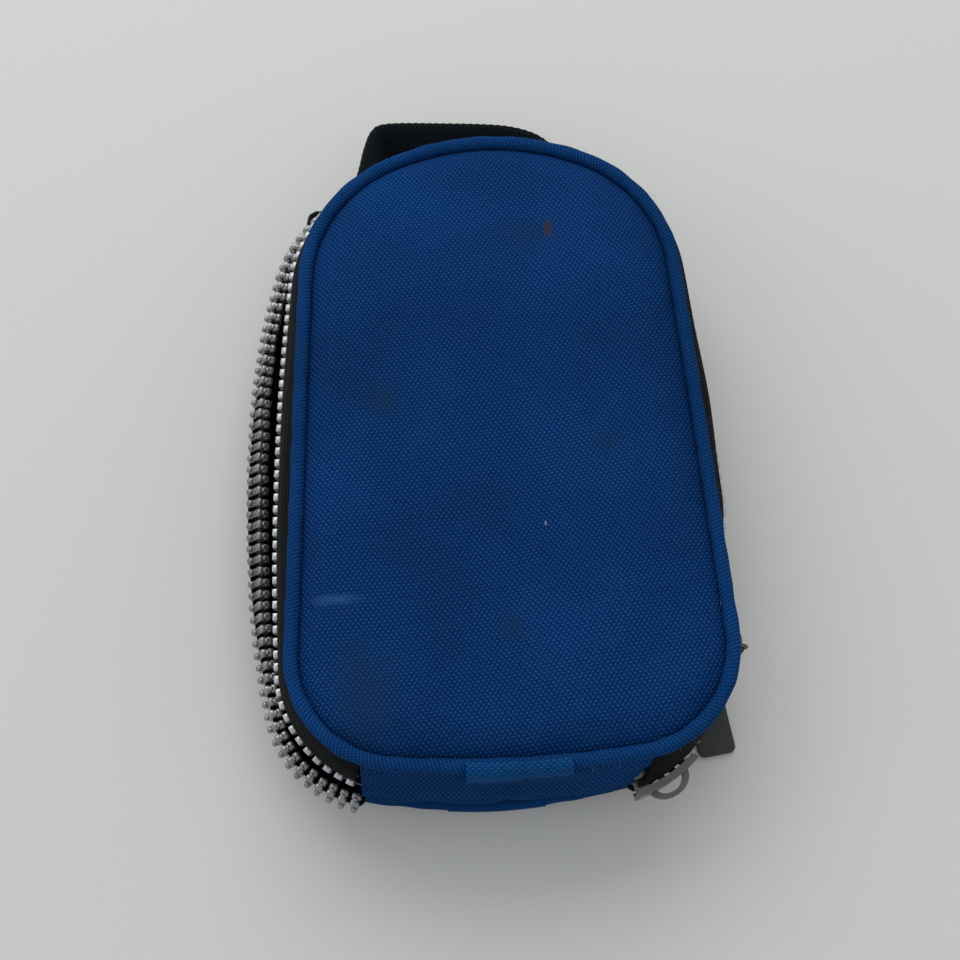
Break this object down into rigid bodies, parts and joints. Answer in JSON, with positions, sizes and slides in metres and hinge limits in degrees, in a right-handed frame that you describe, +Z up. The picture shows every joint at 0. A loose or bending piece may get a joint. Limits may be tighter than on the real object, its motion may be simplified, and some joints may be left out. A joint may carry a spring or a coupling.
{
  "type": "padded zip carry case with microchip scanner",
  "caption": "Soft padded clamshell case of blue woven nylon, unzipped with its lid resting shut, with a carry loop, zip sliders and a handheld microchip scanner strapped inside.",
  "frame": {"origin": "centre of the rear panel's flat resting face", "axes": "+Z up out of the table through the lid, +Y towards the carry loop, +X to the right as seen from above the lid"},
  "size_m": [0.1222, 0.188, 0.043],
  "materials": {
    "blue_fabric": "coarse plain-weave nylon, cobalt blue",
    "blue_piping": "the same nylon folded over a cord",
    "foam": "closed-cell foam padding",
    "lining": "thin black nylon lining",
    "tape": "black ribbed zip tape",
    "zip_teeth": "bright silver moulded teeth",
    "slider_metal": "gunmetal die casting",
    "tag_metal": "dark grey stamped plate",
    "webbing": "black woven webbing",
    "elastic": "black ribbed elastic",
    "mesh": "black knitted mesh",
    "scanner_grey": "light grey moulded housing",
    "scanner_dark": "dark grey moulded housing",
    "screen": "clear display window",
    "lcd": "unlit liquid crystal display",
    "button_green": "moulded key",
    "board": "green solder-mask board",
    "copper": "enamelled copper winding",
    "former": "natural nylon former",
    "black_part": "black moulded component",
    "battery": "plain metal-jacketed cells",
    "steel": "zinc-plated steel"
  },
  "bodies": {
    "rear_shell": {"rear_panel": "blue_fabric", "rear_foam": "foam", "rear_lining": "lining", "rear_piping": "blue_piping", "rear_piping_join": "blue_piping", "lower_zip_tape": "tape", "lower_zip_teeth": "zip_teeth", "chain_end_teeth": "zip_teeth", "zip_tape_end": "tape", "hinge_gusset": "blue_fabric", "slider_end": "slider_metal", "handle_anchors": "webbing", "scanner_front_shell": "scanner_grey", "scanner_rear_shell": "scanner_grey", "housing_screws": "steel", "battery_door": "scanner_dark", "batteries": "battery", "battery_contacts": "steel", "circuit_board": "board", "coil_former": "former", "antenna_coil": "copper", "lcd_module": "lcd", "display_lens": "screen", "buzzer": "black_part", "dome_switch": "black_part", "scanner_band": "elastic"},
    "lid": {"front_panel": "blue_fabric", "front_foam": "foam", "front_lining": "lining", "front_piping": "blue_piping", "front_piping_join": "blue_piping", "upper_zip_tape": "tape", "upper_zip_teeth": "zip_teeth", "mesh_pocket": "mesh", "pocket_binding": "elastic"},
    "slider": {"slider_puller": "slider_metal"},
    "link": {"puller_link": "slider_metal", "puller_rivet": "steel"},
    "tag": {"puller_tag": "tag_metal"},
    "handle": {"handle_loop": "webbing"},
    "button": {"scan_button": "button_green"}
  },
  "joints": [
    {"name": "lid_hinge", "type": "hinge", "parent": "rear_shell", "child": "lid", "pos_m": [0, -0.0845, 0.022], "axis": [1, 0, 0], "range_deg": [0, 175], "deforming": ["hinge_gusset", "zip_tape_end"]},
    {"name": "zip_travel", "type": "hinge", "parent": "rear_shell", "child": "slider", "pos_m": [-0.16888, -0.00847, 0.0218], "axis": [0, 0, 1], "range_deg": [0, 1.35]},
    {"name": "link_swing", "type": "hinge", "parent": "slider", "child": "link", "pos_m": [0.06034, -0.04888, 0.0218], "axis": [0.1736, 0.9848, 0], "range_deg": [-110, 0]},
    {"name": "tag_swivel", "type": "hinge", "parent": "link", "child": "tag", "pos_m": [0.05386, -0.05556, 0.00142], "axis": [0, 0, 1], "range_deg": [-8, 60]},
    {"name": "handle_swing", "type": "hinge", "parent": "rear_shell", "child": "handle", "pos_m": [0, 0.0846, 0.0168], "axis": [1, 0, 0], "range_deg": [0, 30]},
    {"name": "scan_press", "type": "slide", "parent": "rear_shell", "child": "button", "axis": [0, 0, -1], "range_m": [0, 0.0008], "stiffness_N_per_m": 1200}
  ]
}
